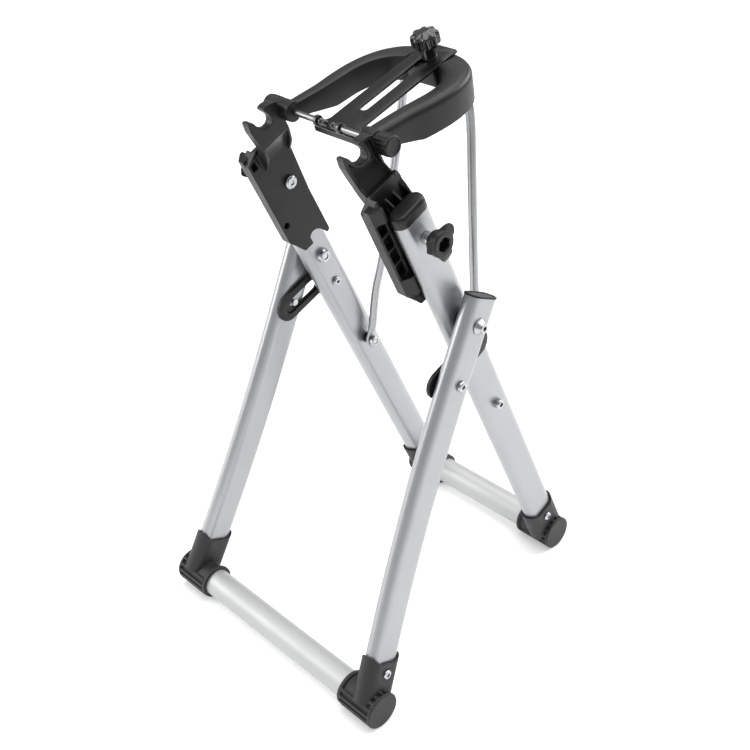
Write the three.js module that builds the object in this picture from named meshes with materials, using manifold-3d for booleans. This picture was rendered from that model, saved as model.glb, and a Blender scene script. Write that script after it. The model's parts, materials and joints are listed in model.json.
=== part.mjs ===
// Folding bicycle-wheel truing stand. Millimetres, +Z up, +X along the wheel axle, -Y towards the user.
import * as THREE from "three";
import { mergeVertices } from "three/addons/utils/BufferGeometryUtils.js";
import Module from "manifold-3d";

// Frame geometry
const FOOT_Y = 147.55; // cross tube centres, front (-) and rear (+)
const FOOT_R = 17.5; // foot end disc radius, and height of the cross tube axis
const PIVOT = [-5.25, 336.1]; // scissor pivot (y, z)
const MAIN_X = 84.3; // mid plane of the long legs
const SHORT_X = 104.9; // mid plane of the short legs at the pivot
const LEG_W = 33; // flat-oval leg tube, long way of the section
const LEG_T = 16; // flat-oval leg tube, short way
const WALL = 1.5;
const MAIN_TOP = 117.4; // long leg end above the pivot
const SHORT_TOP = 23.2; // short leg end above the pivot
const FLARE_FROM = 46; // short legs start to flare this far below the pivot
const FLARE = 0.0002; // outward offset = FLARE * distance^2
const CROSS_R = 13.5; // cross tubes
const LEG_STOP = 16; // leg end above the foot centre
const GAP = 0.15; // clearance of a tube in its socket

// Stations along the long leg, measured from the pivot
const LINK_AT = -35.9;
const WIRE_AT = -121;
const CLAMP_AT = 97;
const BRACE_AT = -52.1; // along the short leg

// Brace link
const LINK_X = [93, 96.5];
const LINK_FLOOR = 95;
const LINK_R = 13;
const LINK_LEN = [-3, 47.5];
const LINK_SLOT = [16, 40.2, 4.9];
const LINK_POCKET = [15.5, 45.5, 6.6];

// Support wire and gauge arm
const WIRE_R = 4;
const WIRE_LEAN = THREE.MathUtils.degToRad(86.3);
const WIRE_X = 68.8; // paddle centre beside the leg
const BAR_AT = 270.6; // crossbar along the wire plane
const BAR_FORWARD = 3.3; // and forward of it
const ARM_FRONT = [-57.85, 499]; // top of the arm above the barrels (y, z)
const ARM_TILT = THREE.MathUtils.degToRad(10.5);
const BARREL = [-57.85, 492.7]; // lateral gauge axis (y, z)
const BARREL_R = 8.4;

// Radial gauge plate
const PLATE_AT = [-57.85, 483.7]; // point on its top face (y, z)
const PLATE_TILT = THREE.MathUtils.degToRad(18.15);
const PLATE_T = 2.2;
const STUD_AT = 118;

const SEG = 20;
const wasm = await Module();
wasm.setup();

const V = (x, y, z) => new THREE.Vector3(x, y, z);
const X = V(1, 0, 0);
const solidOf = (geometry) => {
  const bare = new THREE.BufferGeometry().setAttribute("position", geometry.getAttribute("position").clone());
  if (geometry.index) bare.setIndex(geometry.index.clone());
  const merged = mergeVertices(bare, 1e-4);
  const at = merged.index.array;
  const faces = [];
  for (let i = 0; i < at.length; i += 3) {
    const [a, b, c] = [at[i], at[i + 1], at[i + 2]];
    if (a !== b && b !== c && c !== a) faces.push(a, b, c);
  }
  const build = (triVerts) =>
    new wasm.Manifold(
      new wasm.Mesh({ numProp: 3, vertProperties: merged.getAttribute("position").array, triVerts }),
    );
  const made = build(new Uint32Array(faces));
  if (made.volume() > 0) return made;
  for (let i = 0; i < faces.length; i += 3) [faces[i + 1], faces[i + 2]] = [faces[i + 2], faces[i + 1]];
  return build(new Uint32Array(faces));
};
const geometryOf = (solid) => {
  const mesh = solid.getMesh();
  const vertices = new Float32Array((mesh.vertProperties.length / mesh.numProp) * 3);
  for (let i = 0; i < vertices.length / 3; i++)
    for (let k = 0; k < 3; k++) vertices[3 * i + k] = mesh.vertProperties[mesh.numProp * i + k];
  const indexed = new THREE.BufferGeometry();
  indexed.setAttribute("position", new THREE.BufferAttribute(vertices, 3));
  indexed.setIndex(new THREE.BufferAttribute(new Uint32Array(mesh.triVerts), 1));
  const flat = indexed.toNonIndexed();
  flat.computeVertexNormals();
  return flat;
};
const join = (...solids) => solids.reduce((a, b) => a.add(b));
const cut = (solid, ...tools) => tools.reduce((a, b) => a.subtract(b), solid);

// Basis with its origin at o, local x along ex and local y along ey.
const basis = (o, ex, ey) =>
  new THREE.Matrix4().makeBasis(ex, ey, new THREE.Vector3().crossVectors(ex, ey)).setPosition(o);
const prism = (points, depth, matrix, from = 0) => {
  const shape = new THREE.Shape(points.map(([x, y]) => new THREE.Vector2(x, y)));
  const geometry = new THREE.ExtrudeGeometry(shape, { depth, bevelEnabled: false, steps: 1 });
  return solidOf(geometry.translate(0, 0, from).applyMatrix4(matrix));
};
// Closed [radius, height] profile turned about the line through o along dir.
const turned = (profile, o, dir, segments = SEG) => {
  const points = [...profile, profile[0]].map(([r, h]) => new THREE.Vector2(r, h));
  const geometry = new THREE.LatheGeometry(points, segments);
  geometry.applyQuaternion(new THREE.Quaternion().setFromUnitVectors(V(0, 1, 0), dir));
  return solidOf(geometry.translate(o.x, o.y, o.z));
};
const rod = (r, from, to, segments = SEG) => {
  const dir = to.clone().sub(from);
  const length = dir.length();
  return turned([[0, 0], [r, 0], [r, length], [0, length]], from, dir.normalize(), segments);
};
const hole = (r, from, to, segments = SEG) => rod(r / Math.cos(Math.PI / segments), from, to, segments);
const oval = (w, t, steps = 5) => {
  const points = [];
  for (const side of [1, -1])
    for (let i = 0; i <= steps; i++) {
      const a = -Math.PI / 2 + (Math.PI * i) / steps + (side < 0 ? Math.PI : 0);
      points.push([(side * (w - t)) / 2 + (t / 2) * Math.cos(a), (t / 2) * Math.sin(a)]);
    }
  return points;
};
const slotted = (x0, x1, r, steps = 5) =>
  oval(x1 - x0 + 2 * r, 2 * r, steps).map(([x, y]) => [x + (x0 + x1) / 2, y]);
// Rings of matching points joined into one closed skin with capped ends.
const skin = (rings) => {
  const n = rings[0].length;
  const vertices = rings.flat();
  const faces = [];
  for (let r = 0; r + 1 < rings.length; r++)
    for (let i = 0; i < n; i++) {
      const [a, b] = [r * n + i, r * n + ((i + 1) % n)];
      faces.push(a, b, b + n, a, b + n, a + n);
    }
  const last = (rings.length - 1) * n;
  for (let i = 1; i + 1 < n; i++) faces.push(0, i + 1, i, last, last + i, last + i + 1);
  const geometry = new THREE.BufferGeometry().setFromPoints(vertices);
  geometry.setIndex(faces);
  return solidOf(geometry);
};

const yz = (y, z, x = 0) => V(x, y, z);
const pivotAt = (x) => yz(PIVOT[0], PIVOT[1], x);
const legUp = (footY) => yz(PIVOT[0] - footY, PIVOT[1] - FOOT_R).normalize();
const MAIN_UP = legUp(FOOT_Y);
const SHORT_UP = legUp(-FOOT_Y);
const MAIN_LEN = Math.hypot(PIVOT[0] - FOOT_Y, PIVOT[1] - FOOT_R);
const SHORT_LEN = Math.hypot(PIVOT[0] + FOOT_Y, PIVOT[1] - FOOT_R);
const MAIN_N = yz(-MAIN_UP.z, MAIN_UP.y); // across the long leg, towards the front
const SHORT_N = yz(-SHORT_UP.z, SHORT_UP.y);
const onMain = (s, x, n = 0) => pivotAt(x).addScaledVector(MAIN_UP, s).addScaledVector(MAIN_N, n);
const FLARE_TO = SHORT_LEN - 50; // straight from here down
const flareSlope = (s) => 2 * FLARE * Math.max(Math.min(-s, FLARE_TO) - FLARE_FROM, 0);
const shortX = (s) => {
  const bowed = Math.max(Math.min(-s, FLARE_TO) - FLARE_FROM, 0);
  return SHORT_X + FLARE * bowed ** 2 + flareSlope(s) * Math.max(-s - FLARE_TO, 0);
};
const FRONT_X = shortX(-SHORT_LEN);
const FRONT_UP = SHORT_UP.clone().addScaledVector(X, -flareSlope(-SHORT_LEN)).normalize();
const onShort = (s, dx = 0) => pivotAt(shortX(s) + dx).addScaledVector(SHORT_UP, s);

const solids = {};
const materials = {};
const put = (name, solid, material) => {
  solids[name] = solid;
  materials[name] = material;
};
const mirrored = (solid) => solid.mirror([1, 0, 0]);
const pair = (name, right, material) => {
  put(`${name}_right`, right, material);
  put(`${name}_left`, mirrored(right), material);
};

const TUBE = { color: 0xc9ccce, metalness: 0.75, roughness: 0.35 };
const BLACK = { color: 0x2b2b2d, metalness: 0, roughness: 0.55 };
const GLOSS = { color: 0x17171a, metalness: 0, roughness: 0.25 };
const ZINC = { color: 0xd6d9dc, metalness: 0.9, roughness: 0.22 };
const BRIGHT = { color: 0xd8dadd, metalness: 0.9, roughness: 0.2 };
const PAINT = { color: 0x1d1d1f, metalness: 0.2, roughness: 0.45 };

// Long leg: a flat-oval tube drilled for the pivot, brace, wire and clamp bolts.
const MAIN_IN = MAIN_X - LEG_T / 2;
const MAIN_OUT = MAIN_X + LEG_T / 2;
const SHORT_IN = SHORT_X - LEG_T / 2;
const SHORT_OUT = SHORT_X + LEG_T / 2;
const through = (r, s, x0, x1) => hole(r, onMain(s, x0), onMain(s, x1), 20);
{
  const at = basis(onMain(0, MAIN_X), MAIN_N, X);
  const low = -(MAIN_LEN - LEG_STOP);
  const tube = cut(
    prism(oval(LEG_W, LEG_T), MAIN_TOP - low, at, low),
    prism(oval(LEG_W - 2 * WALL, LEG_T - 2 * WALL), MAIN_TOP - low + 2, at, low - 1),
    through(3.1, 0, MAIN_IN - 2, MAIN_OUT + 2),
    through(2.7, LINK_AT, MAIN_IN - 2, MAIN_OUT + 2),
    through(2.7, WIRE_AT, MAIN_IN - 2, MAIN_OUT + 2),
    through(3.2, CLAMP_AT, MAIN_IN - 2, MAIN_OUT + 2),
    hole(2.2, onMain(32 - MAIN_LEN, MAIN_X), onMain(32 - MAIN_LEN, MAIN_X + 12), 12),
  );
  pair("main_leg", tube, TUBE);

  const rim = (w, t, s) => oval(w, t).map(([n, x]) => onMain(s, MAIN_X + x, n));
  const cap = join(
    skin([
      rim(LEG_W + 0.6, LEG_T + 0.6, MAIN_TOP + 0.1),
      rim(LEG_W + 0.6, LEG_T + 0.6, MAIN_TOP + 6.6),
      rim(LEG_W - 0.4, LEG_T - 0.4, MAIN_TOP + 8.8),
      rim(LEG_W - 4, LEG_T - 4, MAIN_TOP + 10.2),
    ]),
    prism(oval(LEG_W - 2 * WALL - 0.4, LEG_T - 2 * WALL - 0.4), 9.2, at, MAIN_TOP - 9),
  );
  pair("main_leg_cap", cap, BLACK);
}

// Short leg: the same section, bowed outward below the pivot.
{
  const ringAt = (w, t, s) => {
    const up = SHORT_UP.clone().addScaledVector(X, -flareSlope(s)).normalize();
    const across = new THREE.Vector3().crossVectors(up, SHORT_N).normalize();
    return oval(w, t).map(([n, x]) => onShort(s).addScaledVector(SHORT_N, n).addScaledVector(across, x));
  };
  const stations = (low, high) => [low, -FLARE_TO, -235, -180, -130, -80, high];
  const low = -(SHORT_LEN - LEG_STOP);
  const drill = (r, s) => hole(r, onShort(s, -LEG_T), onShort(s, LEG_T), 20);
  const screwOut = new THREE.Vector3().crossVectors(FRONT_UP, SHORT_N).normalize();
  const screwAt = onShort(32 - SHORT_LEN);
  const tube = cut(
    skin(stations(low, SHORT_TOP).map((s) => ringAt(LEG_W, LEG_T, s))),
    skin(stations(low - 1, SHORT_TOP + 1).map((s) => ringAt(LEG_W - 2 * WALL, LEG_T - 2 * WALL, s))),
    drill(3.07, 0),
    drill(2.1, BRACE_AT),
    hole(2.2, screwAt, screwAt.clone().addScaledVector(screwOut, 12), 12),
  );
  pair("short_leg", tube, TUBE);

  const at = basis(onShort(0), SHORT_N, X);
  const plug = join(
    prism(oval(LEG_W + 1.4, LEG_T + 1.4), 1.7, at, SHORT_TOP + 0.1),
    prism(oval(LEG_W - 2 * WALL - 0.4, LEG_T - 2 * WALL - 0.4), 10, at, SHORT_TOP - 9),
  );
  pair("short_leg_plug", plug, BLACK);
}

// Cross tubes with their elbow feet. up is the leg direction seen from the foot.
const footParts = (end, centre, up, across) => {
  const out = new THREE.Vector3().crossVectors(up, across).normalize();
  const sleeveAt = basis(centre, across, out);
  const along = (x) => centre.clone().addScaledVector(X, x);
  const drum = turned(
    [
      [0, -26], [16.9, -26], [16.9, -22.8], [15, -22.2], [15, 10.8], [17.5, 11.4],
      [17.5, 14.6], [16.4, 15.6], [0, 15.6],
    ],
    centre, X, 20,
  );
  let body = drum;
  for (let i = 0; i < 8; i++) {
    const a = (Math.PI * (i + 0.5)) / 4;
    const radial = yz(Math.cos(a), Math.sin(a));
    if (radial.dot(up) > 0.72) continue;
    const from = radial.dot(up) > 0.2 ? 1.5 : -22.9;
    const side = new THREE.Vector3().crossVectors(X, radial);
    const rib = [[13.5, -1.6], [17.2, -1.35], [17.2, 1.35], [13.5, 1.6]];
    body = body.add(prism(rib, 11.4 - from, basis(along(from), radial, side)));
  }
  const sleeve = cut(
    prism(oval(LEG_W + 2 * GAP + 5, LEG_T + 2 * GAP + 5), 43, sleeveAt, 4),
    rod(27.5, centre.clone().addScaledVector(up, 68.5).addScaledVector(out, -30),
      centre.clone().addScaledVector(up, 68.5).addScaledVector(out, 30), 20),
  );
  const screwAt = centre.clone().addScaledVector(up, 32);
  body = cut(
    body.add(sleeve),
    prism(oval(LEG_W + 2 * GAP, LEG_T + 2 * GAP), 50, sleeveAt, LEG_STOP - 0.3),
    hole(CROSS_R + GAP, along(-30), along(9.3), 20),
    hole(2.2, screwAt, screwAt.clone().addScaledVector(out, 16), 12),
  );
  pair(`${end}_foot`, body, BLACK);
  const face = LEG_T / 2 + GAP + 2.5;
  const screw = turned(
    [[0, -3.9], [2, -3.9], [2, 0.1], [4.4, 0.1], [4.4, 1.2], [3.2, 2.3], [0, 2.3]],
    screwAt.clone().addScaledVector(out, face), out, 16,
  );
  pair(`${end}_foot_screw`, screw, ZINC);
};
footParts("rear", yz(FOOT_Y, FOOT_R, MAIN_X), MAIN_UP, MAIN_N);
footParts("front", yz(-FOOT_Y, FOOT_R, FRONT_X), FRONT_UP, SHORT_N);
for (const [end, y, x] of [["rear", FOOT_Y, MAIN_X + 9], ["front", -FOOT_Y, FRONT_X + 9]]) {
  const tube = cut(
    rod(CROSS_R, yz(y, FOOT_R, -x), yz(y, FOOT_R, x), 24),
    rod(CROSS_R - WALL, yz(y, FOOT_R, -x - 1), yz(y, FOOT_R, x + 1), 24),
  );
  put(`${end}_cross_tube`, tube, TUBE);
}

// Scissor pivot: bolt with a domed socket head outside, domed nut inside, washer between the legs.
const bolt = (profile, o, segments = 20) => turned(profile, o, X, segments);
pair("pivot_bolt", bolt(
  [
    [0, MAIN_IN - 4.4], [3, MAIN_IN - 4.4], [3, SHORT_OUT + 0.2], [7, SHORT_OUT + 0.2],
    [7, SHORT_OUT + 1.2], [5.6, SHORT_OUT + 2], [4.6, SHORT_OUT + 5.2], [3.4, SHORT_OUT + 6.2],
    [2, SHORT_OUT + 6.2], [2, SHORT_OUT + 3.2], [0, SHORT_OUT + 3.2],
  ], pivotAt(0)), ZINC);
pair("pivot_nut", bolt(
  [
    [3.1, MAIN_IN - 0.1], [3.1, MAIN_IN - 5.2], [4.4, MAIN_IN - 5.2], [5.4, MAIN_IN - 4],
    [6.8, MAIN_IN - 1.4], [6.8, MAIN_IN - 0.1],
  ], pivotAt(0)), ZINC);
pair("pivot_washer", bolt(
  [[3.1, MAIN_OUT + 0.2], [8, MAIN_OUT + 0.2], [8, SHORT_IN - 0.2], [3.1, SHORT_IN - 0.2]], pivotAt(0)), BLACK);

// Brace link: turns on its bolt beside the long leg, slotted for the short leg's screw.
{
  const rest = onShort(BRACE_AT).sub(onMain(LINK_AT, 0)).setX(0).normalize();
  const side = yz(-rest.z, rest.y);
  const at = basis(onMain(LINK_AT, 0), rest, side);
  const link = cut(
    prism(slotted(...LINK_LEN, LINK_R), LINK_X[1] - LINK_X[0], at, LINK_X[0]),
    prism(slotted(...LINK_POCKET), 5, at, LINK_FLOOR - 5),
    prism(slotted(...LINK_SLOT), 10, at, 90),
    hole(2.6, onMain(LINK_AT, 90), onMain(LINK_AT, 100), 20),
  );
  pair("brace_link", link, BLACK);
  pair("link_bolt", bolt(
    [
      [0, SHORT_IN - 0.6], [2.5, SHORT_IN - 0.6], [2.5, MAIN_IN - 0.2], [4.4, MAIN_IN - 0.2],
      [4.4, MAIN_IN - 2.4], [3.4, MAIN_IN - 3.2], [0, MAIN_IN - 3.2],
    ], onMain(LINK_AT, 0), 12), ZINC);
  const screwAt = onShort(BRACE_AT).setX(0);
  pair("brace_screw", bolt(
    [
      [0, LINK_FLOOR - 0.3], [2, LINK_FLOOR - 0.3], [2, SHORT_OUT + 0.2], [4.8, SHORT_OUT + 0.2],
      [4.8, SHORT_OUT + 2.6], [3.4, SHORT_OUT + 3.8], [0, SHORT_OUT + 3.8],
    ], screwAt, 12), ZINC);
  pair("brace_nut", bolt(
    [[0, LINK_X[0] + 0.1], [3.2, LINK_X[0] + 0.1], [3.2, LINK_FLOOR - 0.4], [0, LINK_FLOOR - 0.4]],
    screwAt, 12), ZINC);
}

// Support wire: one bent rod whose flattened ends turn on bolts in the long legs.
const WIRE_UP = yz(Math.cos(WIRE_LEAN), Math.sin(WIRE_LEAN));
const WIRE_N = yz(-WIRE_UP.z, WIRE_UP.y);
const wireAt = (s, x, n = 0) => onMain(WIRE_AT, x).addScaledVector(WIRE_UP, s).addScaledVector(WIRE_N, n);
const BAR = wireAt(BAR_AT, 0, BAR_FORWARD);
{
  // [distance up the wire plane, x, half width across the plane, half width in it, forward offset]
  const r = WIRE_R;
  const side = [
    [-7.5, WIRE_X, 3, 1.5, 0], [-5.5, WIRE_X, 5.4, 1.6, 0], [0, WIRE_X, 7, 1.6, 0], [6, WIRE_X, 6.4, 1.6, 0],
    [12, WIRE_X - 0.4, 4.8, 2.6, 0], [18, WIRE_X - 1, r, r, 0], [30, WIRE_X - 1.8, r, r, 0],
    [45, 66, r, r, 0], [60, 64.2, r, r, 0], [75, 61, r, r, 0], [90, 57.8, r, r, 0], [110, 55, r, r, 0],
    [180, 46.8, r, r, 0], [236, 40.3, r, r, 0], [250, 38.6, r, r, 0.8], [258, 37.3, r, r, 1.7],
    [264, 35.4, r, r, 2.6], [268.6, 32, r, r, 3.1], [BAR_AT, 27.5, r, r, BAR_FORWARD],
  ];
  const path = [...side, ...[...side].reverse().map(([s, x, a, b, n]) => [s, -x, a, b, n])];
  const points = path.map(([s, x]) => V(x, s, 0));
  const rings = path.map(([s, x, a, b, n], i) => {
    const before = points[Math.max(i - 1, 0)];
    const after = points[Math.min(i + 1, points.length - 1)];
    const t = after.clone().sub(before).normalize();
    const ring = [];
    for (let k = 0; k < 10; k++) {
      const angle = (2 * Math.PI * k) / 10;
      const p = Math.cos(angle) * b;
      ring.push(wireAt(s + t.x * p, x - t.y * p, n + Math.sin(angle) * a));
    }
    return ring;
  });
  const wire = cut(
    skin(rings),
    hole(2.7, wireAt(0, 60), wireAt(0, 80), 16),
    hole(2.7, wireAt(0, -80), wireAt(0, -60), 16),
  );
  put("support_wire", wire, BRIGHT);
  const at = onMain(WIRE_AT, 0);
  pair("wire_bolt", bolt(
    [
      [0, WIRE_X - 5.4], [2.5, WIRE_X - 5.4], [2.5, MAIN_OUT + 0.2], [4.6, MAIN_OUT + 0.2],
      [4.6, MAIN_OUT + 4.6], [3.6, MAIN_OUT + 5.6], [0, MAIN_OUT + 5.6],
    ], at, 12), ZINC);
  pair("wire_spacer", bolt(
    [[2.6, WIRE_X + 2], [5.2, WIRE_X + 2], [5.2, MAIN_IN - 0.2], [2.6, MAIN_IN - 0.2]], at, 12), PAINT);
  pair("wire_nut", bolt(
    [[2.6, WIRE_X - 2], [4.7, WIRE_X - 2], [4.7, WIRE_X - 5], [3.9, WIRE_X - 5.8], [2.6, WIRE_X - 5.8]],
    at, 12), ZINC);
}

// Gauge arm: a U moulding that turns on the wire's crossbar, with a barrel at each tip.
const ARM_U = yz(Math.cos(ARM_TILT), Math.sin(ARM_TILT));
const ARM_N = yz(-ARM_U.z, ARM_U.y);
const armAt = (x, s, h = 0) => yz(...ARM_FRONT, x).addScaledVector(ARM_U, s).addScaledVector(ARM_N, h);
const PLATE_U = yz(Math.cos(PLATE_TILT), Math.sin(PLATE_TILT));
const PLATE_N = yz(-PLATE_U.z, PLATE_U.y);
const plateAt = (x, s, h = 0) => yz(...PLATE_AT, x).addScaledVector(PLATE_U, s).addScaledVector(PLATE_N, h);
{
  const outer = [
    [53.5, -3], [54, 14], [54.8, 34], [57.4, 54], [58.4, 72], [57, 88], [52.6, 103], [46, 114],
    [36, 123], [21, 129.6], [0, 132],
  ];
  const inner = [
    [39.8, -9], [39.8, 14], [40.2, 34], [41.4, 54], [42.2, 68], [40.4, 82], [35.4, 93], [27, 101],
    [15, 106], [0, 107.5],
  ];
  const outline = (half) => [...half, ...half.slice(0, -1).reverse().map(([x, s]) => [-x, s])];
  const grown = (half, by) => half.map(([x, s]) => [x > 1 ? x + by : x, s > 60 ? s + by : s]);
  const block = (half, low, high) => prism(outline(half), high - low, basis(armAt(0, 0), X, ARM_U), low);
  const slab = (points, width, u, n, at) => prism(points, width, basis(at(-width / 2), u, n));
  const inArm = (points, width) => slab(points, width, ARM_U, ARM_N, (x) => armAt(x, 0));
  const inPlate = (points, width) => slab(points, width, PLATE_U, PLATE_N, (x) => plateAt(x, 0));
  // A rounded top edge, and an underside that is deep at the back and shallow at the barrels.
  const body = join(
    block(grown(outer, -2.6), -20, 0), block(grown(outer, -0.9), -20, -0.9), block(outer, -26, -2.6),
  );
  const under = inArm([[-60, -60], [140, -60], [140, -26], [44, -26], [8, -15.5], [-60, -15.5]], 200);
  const back = block(outer, -24, 30);
  const bridge = inArm([[97, -24], [112, -24], [112, -1], [97, -1]], 32);
  const seat = inPlate([[104, -18], [142, -18], [142, -PLATE_T - 0.2], [104, -PLATE_T - 0.2]], 32);
  const barrel = (x) => rod(BARREL_R, yz(...BARREL, x), yz(...BARREL, x + 13.6), 18);
  // Room for the wire's legs as the arm turns.
  const relief = (x) =>
    prism([[5, 0.5], [5, -45], [-52, -45], [-40, -31], [-3.4, 3.6], [-1, 5], [2.4, 4.6]], 23,
      basis(yz(BAR.y, BAR.z, x), yz(1, 0), yz(0, 1)));
  const bore = (WIRE_R + 0.09) / Math.cos(Math.PI / 20);
  const arm = cut(
    join(cut(body, block(inner, -40, 10), under), bridge, seat.intersect(back), barrel(40.6), barrel(-54.2)),
    inPlate([[-20, -PLATE_T - 0.2], [170, -PLATE_T - 0.2], [170, 40], [-20, 40]], 60),
    relief(25.2), relief(-48.2),
    rod(bore, yz(BAR.y, BAR.z, -26), yz(BAR.y, BAR.z, 26), 20),
    hole(2.7, yz(...BARREL, -60), yz(...BARREL, 60), 20),
    hole(3.1, plateAt(0, STUD_AT, -14), plateAt(0, STUD_AT, 4), 20),
  );
  put("gauge_arm", arm, BLACK);
}

// Lateral gauges: knurled knob, plain rod and ball-ended tip on one axis.
{
  const at = yz(...BARREL);
  let knob = turned(
    [[2.7, 54.6], [7.4, 54.6], [8, 55.4], [8, 69.2], [7.2, 70.5], [0, 70.5], [0, 64], [2.7, 64]], at, X, 18);
  for (let i = 0; i < 8; i++) {
    const a = (Math.PI * i) / 4;
    const radial = yz(Math.cos(a), Math.sin(a));
    const side = new THREE.Vector3().crossVectors(X, radial);
    knob = knob.add(prism([[7, -1], [8.6, -0.7], [8.6, 0.7], [7, 1]], 11.6, basis(yz(...BARREL, 57), radial, side)));
  }
  pair("lateral_knob", knob, BLACK);
  pair("lateral_rod", rod(2.6, yz(...BARREL, 14.6), yz(...BARREL, 63.9), 20), ZINC);
  const tip = turned(
    [
      [0, 2], [1.5, 2.3], [2.6, 3.4], [2.9, 4.8], [2.5, 6], [1.9, 6.7], [2.7, 7.6], [3.1, 9], [2.7, 10.4],
      [2, 11.2], [4.1, 11.4], [4.4, 11.8], [4.4, 14.2], [4.1, 14.5], [0, 14.5],
    ], at, X, 14);
  pair("lateral_tip", tip, GLOSS);
}

// Radial gauge: a slotted plate with a flared front edge, clamped by a star knob.
{
  const half = [[23.5, 4.7], [23.5, 8.5], [17.4, 17.6], [17.4, 131.6], [15, 134]];
  const flat = basis(plateAt(0, 0), X, PLATE_U);
  const points = [...half, ...half.map(([x, s]) => [-x, s]).reverse()];
  const plate = cut(
    join(
      prism(points, PLATE_T, flat, -PLATE_T),
      prism([[-23.5, 4.7], [23.5, 4.7], [23.5, 6.7], [-23.5, 6.7]], 3.4, flat, -PLATE_T - 3.2),
    ),
    prism(slotted(40.6, 120.4, 4).map(([s, x]) => [-x, s]), 8, flat, -5),
  );
  put("radial_plate", plate, PAINT);
  const stud = turned(
    [[0, -12.6], [3, -12.6], [3, 11], [0, 11]], plateAt(0, STUD_AT), PLATE_N, 20);
  put("star_stud", stud, ZINC);
  let knob = turned(
    [
      [3.2, 0.2], [6.4, 0.2], [6.4, 11.7], [9.2, 12.5], [9.8, 13.3], [9.8, 20.1], [8.2, 22.1], [5, 23.4],
      [0, 23.9], [0, 11.2], [3.2, 11.2],
    ], plateAt(0, STUD_AT), PLATE_N, 14);
  for (let i = 0; i < 8; i++) {
    const a = (Math.PI * (i + 0.5)) / 4;
    const o = plateAt(9.4 * Math.cos(a), STUD_AT + 9.4 * Math.sin(a), 12.7);
    knob = knob.add(turned([[0, 0], [3.1, 0.4], [3.1, 6.8], [2.2, 8.2], [0, 8.6]], o, PLATE_N, 7));
  }
  put("star_knob", knob, GLOSS);
}

// Dropout plates: reversible ribbed mouldings clamped to the inside of the long legs.
{
  const flat = basis(pivotAt(0), MAIN_UP, MAIN_N); // local x up the leg, local y to its front
  const level = (points, x0, x1) => prism(points, x1 - x0, flat, x0);
  const profile = basis(pivotAt(0), MAIN_UP, X); // local x up the leg, local y outward
  const upright = (points, n0, n1) =>
    prism(points, n1 - n0, new THREE.Matrix4().makeTranslation(...MAIN_N.clone().multiplyScalar(n1)).multiply(profile));
  const bodyEdge = [
    [28.4, 17.9], [28.1, 7.2], [36, 7.4], [38.6, 3.4], [37.6, -1.6], [33.6, -6], [25, -10.2], [26.4, -13.6],
    [29.2, -13.9], [75, -13.7], [101, -15.2], [138, -17.6], [144, -16], [144, 14.4], [137.4, 27.2],
    [47, 27.6], [36.8, 21.4],
  ].reverse();
  const headEdge = [
    [150, -15.4], [176, -15.4], [178.6, -10.6], [180, -5.2], [179.2, -1.2], [176.2, -1.8], [171, -4.6],
    [168, -5.2], [165, -4], [163.4, -1.4], [163.2, 2.2], [165, 5.4], [170.6, 9.6], [177.2, 12], [179, 14.6],
    [178.4, 16.6], [170, 17.6], [150, 15.2],
  ].reverse();
  const pockets = [
    [[44, -11.2], [87, -12], [87, 14.6], [41.5, 15], [42, 6], [45, 1]],
    [[107, -13], [138, -15], [141, -13], [141, 11], [138, 14.6], [107, 14.6]],
    ...[[68, 81], [83, 96], [98, 111], [113, 125]].map(([a, b]) => [[a, 17.2], [b, 17.2], [b, 25], [a, 25]]),
  ];
  const headPocket = [
    [155, -12.5], [173.5, -12.6], [175.8, -10], [177, -6.5], [171.5, -7.8], [165, -7.4], [160.9, -3.5],
    [160.4, 3], [163, 7.6], [168, 11.6], [173.5, 14], [168, 14.8], [155, 12.4],
  ];
  const moulding = cut(
    join(
      level(bodyEdge, 65, 75.9),
      ...[[127, 141], [46.5, 66]].map(([a, b]) =>
        prism([[17.2, 70], [17.2, 82], [20, 82], [27.3, 76], [27.3, 70]], b - a,
          basis(onMain(a, 0), MAIN_N, X))),
      level(headEdge, 50, 58.4),
    ),
    ...pockets.map((points) => level(points, 68, 84)),
    level(headPocket, 53, 60),
    upright([[127, 68.2], [127, 90], [160, 90], [160, 53.2], [153.5, 53.2], [130, 68.2]], -13, 12.6),
    ...[[-20, -13], [12.6, 15.2]].map(([a, b]) =>
      upright([[128, 71], [128, 90], [160, 90], [160, 58.4], [149, 58.4], [131, 71]], a, b)),
  );
  const plate = cut(
    join(
      moulding,
      upright([[124, 65.2], [124, 68.2], [130, 68.2], [153.5, 53.2], [153.5, 50.2], [150, 50.2], [128.5, 65.2]],
        -15, 14.8),
      ...[[12.6, 15], [-15.4, -13]].map(([a, b]) => upright(
        [
          [155, 50], [150, 50], [144, 51.4], [135, 54.6], [127.5, 59.6], [121, 65.6], [124, 71], [131, 71],
          [149, 58.4], [155, 58.4],
        ], a, b)),
    ),
    rod(BARREL_R + 0.5, yz(...BARREL, 40), yz(...BARREL, 80), 24),
    prism([[-3.8, 4], [-3.8, -16.4], [40, -16.4], [40, 4]], 14, basis(armAt(46, 0), ARM_U, ARM_N)),
    hole(3.2, onMain(CLAMP_AT, 60), onMain(CLAMP_AT, 80), 20),
    rod(3, onMain(64.6, 60, 22.3), onMain(64.6, 69, 22.3), 16),
    level([[130, 19.5], [138, 19.5], [137, 25], [130, 25]], 64, 72),
  );
  const [body] = plate.decompose().sort((a, b) => b.volume() - a.volume());
  pair("dropout_plate", body, BLACK);
}

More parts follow.
